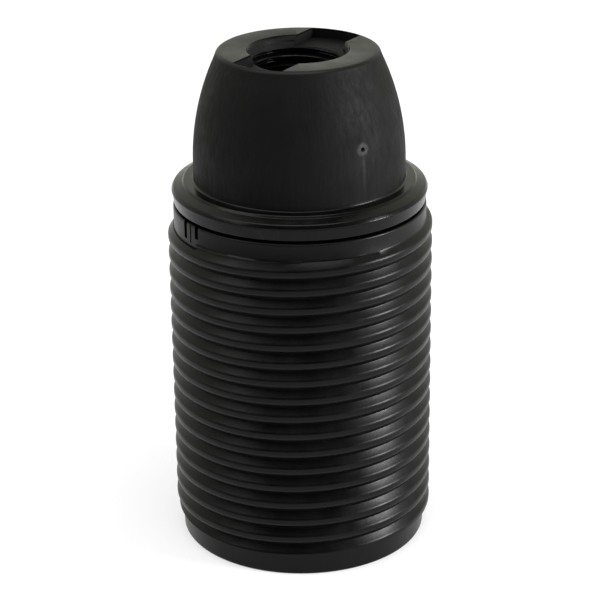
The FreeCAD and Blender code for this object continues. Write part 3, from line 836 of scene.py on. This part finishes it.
class Finish(Shading):
    """A node material, built up from a few noises in the object's own space."""

    def __init__(self, name):
        self.material = bpy.data.materials.new(name)
        self.material.use_nodes = True
        super().__init__(self.material.node_tree)
        self.shader = self.tree.nodes["Principled BSDF"]
        self.place = self.node("TexCoord").outputs["Object"]
        self.relief = None

    def noise(self, scale, detail, stretch=None, roughness=0.55):
        """Noise with this many cells to the metre, squeezed along the axes by stretch."""
        noise = self.node("TexNoise", Scale=scale, Detail=detail, Roughness=roughness)
        source = self.place
        if stretch:
            squeeze = self.node("Mapping")
            squeeze.inputs["Scale"].default_value = stretch
            self.link(source, squeeze.inputs["Vector"])
            source = squeeze.outputs["Vector"]
        self.link(source, noise.inputs["Vector"])
        return noise.outputs["Fac"]

    def axes(self):
        """X, Y and Z in the object's own space, in metres."""
        node = self.node("SeparateXYZ")
        self.link(self.place, node.inputs["Vector"])
        return node.outputs["X"], node.outputs["Y"], node.outputs["Z"]

    def height_and_radius(self):
        """Height above the mouth and distance from the axis, in metres."""
        x, y, height = self.axes()
        squares = self.maths("ADD", self.maths("MULTIPLY", x, x), self.maths("MULTIPLY", y, y))
        return height, self.maths("POWER", squares, 0.5)

    def between(self, value, start, end):
        """0 where a length in metres is at start and 1 where it is at end, both in millimetres."""
        return self.mapped(value, start * MM, end * MM, 0.0, 1.0)

    def product(self, first, *others):
        for other in others:
            first = self.maths("MULTIPLY", first, other)
        return first

    def edges(self, low=0.52, high=0.6):
        """1 on worn convex edges, 0 elsewhere."""
        sharp = self.node("NewGeometry").outputs["Pointiness"]
        return self.mapped(sharp, low, high, 0.0, 1.0)

    def bump(self, height, strength, distance):
        """Adds relief to the surface, distance metres high."""
        node = self.node("Bump", Strength=strength, Distance=distance)
        self.link(height, node.inputs["Height"])
        if self.relief:
            self.link(self.relief, node.inputs["Normal"])
        self.relief = node.outputs["Normal"]
        self.link(self.relief, self.shader.inputs["Normal"])


def moulded(f, dark, light, gloss):
    """Clouded dark plastic with paler worn edges, where gloss is its specular level. Returns its
    cloud noise."""
    cloud = f.noise(420, 5.0)
    base = f.blend(f.mapped(cloud, *SPREAD, 0.0, 1.0), dark, light)
    worn = f.maths("MULTIPLY", f.edges(), f.mapped(f.noise(2600, 4.0), 0.42, 0.62, 0.0, 0.5))
    f.link(f.blend(worn, base, WORN_PLASTIC), f.shader.inputs["Base Color"])
    f.shader.inputs["Specular IOR Level"].default_value = gloss
    return cloud


def gate_whitening(f):
    """Patchy share of pale stressed plastic: a ring round the gate, less along its flow line."""
    place, normal = gate_frame()
    away = f.node("VectorMath", operation="DISTANCE")
    f.link(f.place, away.inputs[0])
    away.inputs[1].default_value = place * MM
    ring = f.mapped(away.outputs["Value"], 0.45 * MM, 0.8 * MM, 0.8, 0.0)
    across = f.node("VectorMath", operation="DOT_PRODUCT")
    f.link(f.place, across.inputs[0])
    across.inputs[1].default_value = (-normal[1], normal[0], 0)
    aside = f.maths("ABSOLUTE", across.outputs["Value"], 0.0)
    line = f.mapped(aside, 0.08 * MM, FLOW_W * MM, 0.28, 0.0)
    _, y, height = f.axes()
    under_gate = f.between(height, GATE_Z, GATE_Z - 0.3)
    fade = f.between(height, GATE_Z - 5.0, GATE_Z - 1.5)
    near_side = f.between(y, -2.0, -4.0)
    patches = f.mapped(f.noise(3000, 3.0), 0.35, 0.6, 0.35, 1.0)
    line = f.product(line, under_gate, fade, near_side)
    return f.product(f.maths("MAXIMUM", ring, line), patches)


def matt_share(f, height, radius):
    """1 on the eroded skin of the dome, its slot and the entry's cone, 0 on the polished skin."""
    above = f.between(height, MATT_FROM, MATT_FROM + 0.5)
    below = f.between(height, MATT_TO + 0.3, MATT_TO)
    outside = f.between(radius, MATT_R, MATT_R + 0.1)
    cone = f.between(height, CONE_Z, CONE_Z + 0.2)
    return f.product(above, below, f.maths("MAXIMUM", outside, cone))


def black_thermoplastic():
    """Shell plastic: semi-gloss, glossier on the collar and in the entry, and matt on the dome,
    with draw marks."""
    f = Finish("black_thermoplastic")
    cloud = moulded(f, *SHELL, 0.14)
    draw = f.noise(2400, 4.0, (1.0, 1.0, 0.16))
    height, radius = f.height_and_radius()
    matt = matt_share(f, height, radius)
    over_rim = f.between(height, SKIRT_TOP, CAP_RIM_Z)
    collar = f.product(over_rim, f.between(height, MATT_FROM + 0.5, MATT_FROM))
    entry = f.between(radius, MATT_R, MATT_R - 0.2)
    skin = f.mapped(cloud, *SPREAD, *SKIN_ROUGH)
    polished = f.ranged(collar, skin, f.mapped(cloud, *SPREAD, *COLLAR_ROUGH))
    polished = f.ranged(entry, polished, ENTRY_ROUGH)
    eroded = f.mapped(f.maths("ADD", cloud, draw), 0.7, 1.3, *DOME_ROUGH)
    pale = gate_whitening(f)
    rough = f.ranged(pale, f.ranged(matt, polished, eroded), STRESSED_ROUGH)
    f.link(rough, f.shader.inputs["Roughness"])
    colour = f.shader.inputs["Base Color"]
    f.link(f.blend(pale, colour.links[0].from_socket, STRESSED_PLASTIC), colour)
    f.bump(f.product(draw, matt), 0.5, 0.00006)
    f.bump(f.noise(3200, 3.0), 0.2, 0.00005)
    return f.material


def black_thermoset():
    """Core: duller, speckled with filler."""
    f = Finish("black_thermoset")
    moulded(f, *CORE, 0.35)
    speckle = f.noise(6000, 3.0)
    f.link(f.mapped(speckle, *SPREAD, 0.4, 0.62), f.shader.inputs["Roughness"])
    f.bump(speckle, 0.2, 0.00005)
    return f.material


def brass():
    """Rolled brass strip: fine rolling lines, dull brown tarnish in patches, bright worn edges."""
    f = Finish("rolled_brass")
    tarnish = f.mapped(f.noise(700, 6.0, roughness=0.65), 0.42, 0.68, 0.0, 1.0)
    lines = f.noise(5200, 3.0, (1.0, 0.06, 1.0))
    base = f.blend(tarnish, CLEAN_BRASS, BROWN_BRASS)
    f.link(f.blend(f.edges(0.54, 0.64), base, WORN_BRASS), f.shader.inputs["Base Color"])
    f.shader.inputs["Metallic"].default_value = 1.0
    rough = f.mapped(f.maths("ADD", tarnish, lines), 0.3, 1.6, 0.2, 0.48)
    f.link(rough, f.shader.inputs["Roughness"])
    f.bump(lines, 0.2, 0.00003)
    return f.material


def plated_steel():
    """Zinc-plated steel: speckled bluish grey, a slight yellow cast in places, brighter edges."""
    f = Finish("zinc_plated_steel")
    cast = f.mapped(f.noise(900, 5.0), 0.4, 0.65, 0.0, 1.0)
    speckle = f.noise(9000, 2.0)
    base = f.blend(cast, BLUE_ZINC, YELLOW_ZINC)
    f.link(f.blend(f.edges(0.54, 0.64), base, WORN_ZINC), f.shader.inputs["Base Color"])
    f.shader.inputs["Metallic"].default_value = 1.0
    rough = f.mapped(f.maths("ADD", cast, speckle), 0.3, 1.6, 0.24, 0.46)
    f.link(rough, f.shader.inputs["Roughness"])
    f.bump(speckle, 0.15, 0.00003)
    return f.material


FINISHES = {
    "black_shell": black_thermoplastic(),
    "black_core": black_thermoset(),
    "contact_brass": brass(),
    "plated_steel": plated_steel(),
}


def dressed(obj, slot):
    obj.data.materials.clear()
    obj.data.materials.append(FINISHES[slot])


def stand_in(obj, node, body, slot):
    """Puts a finer piece in a solid's place, on the same body and with the same finish slot."""
    smooth(obj)
    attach(obj, body)
    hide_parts(node)
    dressed(obj, slot)


stand_in(skirt_shell(), "skirt", "skirt", "black_shell")
stand_in(cap_shell(), "cap", "cap", "black_shell")
leaf = centre_leaf()
stand_in(leaf, "centre_contact", "core", "contact_brass")
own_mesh(leaf)
stand_in(side_leaf(), "side_contact", "core", "contact_brass")
stand_in(button(), "contact_button", "button", "contact_brass")
stand_in(screw("live_screw_threaded", TERMINAL_X), "live_screw", "live_screw", "plated_steel")
stand_in(screw("neutral_screw_threaded", -TERMINAL_X), "neutral_screw", "neutral_screw",
         "plated_steel")

CARRIED_OVER = {
    "core": "black_core",
    "live_nut": "plated_steel",
    "neutral_nut": "plated_steel",
    "live_clamp": "plated_steel",
    "neutral_clamp": "plated_steel",
}
for name, slot in CARRIED_OVER.items():
    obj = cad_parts[name]
    dressed(obj, slot)
    soften(obj)


# --- Studio -------------------------------------------------------------------------------------
CENTRE = Vector((0, 0, 0.027))       # the lamps face this point, in metres


def direction(azimuth, elevation):
    a, e = math.radians(azimuth), math.radians(elevation)
    return Vector((math.cos(a) * math.cos(e), math.sin(a) * math.cos(e), math.sin(e)))


def softbox(name, azimuth, elevation, distance, size, power, colour=(1, 1, 1)):
    """Square lamp that faces the object. Distance and size in metres, power in watts."""
    data = bpy.data.lights.new(name, "AREA")
    data.shape = "SQUARE"
    data.size = size
    data.energy = power
    data.color = colour
    obj = bpy.data.objects.new(name, data)
    away = direction(azimuth, elevation)
    facing = away.to_track_quat("Z", "Y").to_matrix().to_4x4()
    obj.matrix_world = Matrix.Translation(CENTRE + away * distance) @ facing
    bpy.context.scene.collection.objects.link(obj)


softbox("key", -17, 15, 0.5, 0.13, 3.4, (1.0, 0.98, 1.0))
softbox("top", 270, 80, 0.5, 0.4, 1.6)
softbox("fill", 195, 48, 0.5, 0.3, 0.8)

AMBIENT = 0.45               # strength of the world as a light
ROOM = (0.08, 0.08, 0.085)   # what reflections see in front of the object
BACKDROP = (0.9, 0.9, 0.8)   # and behind it
BEHIND = (0, 0.9, 0.3)       # direction of the backdrop's middle
HORIZON = 0.4                # the two merge where the share along it is within this of 0
FLOOR = 0.48
FLOOR_HALF = 3.0             # metres
GLOW = 0.52                  # what the floor adds where it is seen directly


def studio_world():
    """White for the camera, a pale backdrop and a dim room for reflections, an even plain light."""
    world = bpy.data.worlds.new("studio")
    world.use_nodes = True
    f = Shading(world.node_tree)
    camera_ray, direct = f.seen_directly()
    toward = f.node("VectorMath", operation="DOT_PRODUCT")
    f.link(f.node("TexCoord").outputs["Generated"], toward.inputs[0])
    toward.inputs[1].default_value = BEHIND
    room = f.blend(f.mapped(toward.outputs["Value"], -HORIZON, HORIZON, 0.0, 1.0), ROOM, BACKDROP)
    seen = f.blend(camera_ray, room, (1.0, 1.0, 1.0))
    background = f.tree.nodes["Background"].inputs["Color"]
    f.link(f.blend(direct, (AMBIENT, AMBIENT, AMBIENT), seen), background)
    return world


def studio_floor():
    """Pale floor, lifted to white where it is seen directly, so that it keeps the shadow."""
    mesh = bmesh.new()
    bmesh.ops.create_grid(mesh, x_segments=1, y_segments=1, size=FLOOR_HALF)
    floor = piece("floor", mesh, weld=False)
    f = Finish("floor_paint")
    f.shader.inputs["Base Color"].default_value = (FLOOR, FLOOR, FLOOR, 1)
    f.shader.inputs["Roughness"].default_value = 0.9
    f.shader.inputs["Specular IOR Level"].default_value = 0.1
    f.shader.inputs["Emission Color"].default_value = (1, 1, 1, 1)
    f.link(f.maths("MULTIPLY", f.seen_directly()[1], GLOW), f.shader.inputs["Emission Strength"])
    floor.data.materials.append(f.material)
    return floor


bpy.context.scene.world = studio_world()
studio_floor()

# --- Camera -------------------------------------------------------------------------------------
EYE = Vector((0.0, -0.21056, 0.11440))   # metres
PITCH = 0.3973               # angle below the horizon, and the two below it, in radians
YAW = -0.0005
ROLL = -0.0122
LENS = 127.82
FILM = 36


def photo_camera():
    """Camera at the photo's viewing angle."""
    ahead = Vector((math.sin(YAW), math.cos(YAW), 0)) * math.cos(PITCH)
    ahead.z = -math.sin(PITCH)
    side = ahead.cross(Vector((0, 0, 1))).normalized()
    up = side.cross(ahead)
    right = side * math.cos(ROLL) + up * math.sin(ROLL)
    top = up * math.cos(ROLL) - side * math.sin(ROLL)
    data = bpy.data.cameras.new("camera")
    data.lens = LENS
    data.sensor_width = FILM
    data.clip_start = 0.01
    obj = bpy.data.objects.new("camera", data)
    obj.matrix_world = Matrix.Translation(EYE) @ Matrix((right, top, -ahead)).transposed().to_4x4()
    bpy.context.scene.collection.objects.link(obj)
    return obj


bpy.context.scene.camera = photo_camera()
bpy.context.scene.view_settings.view_transform = "Standard"
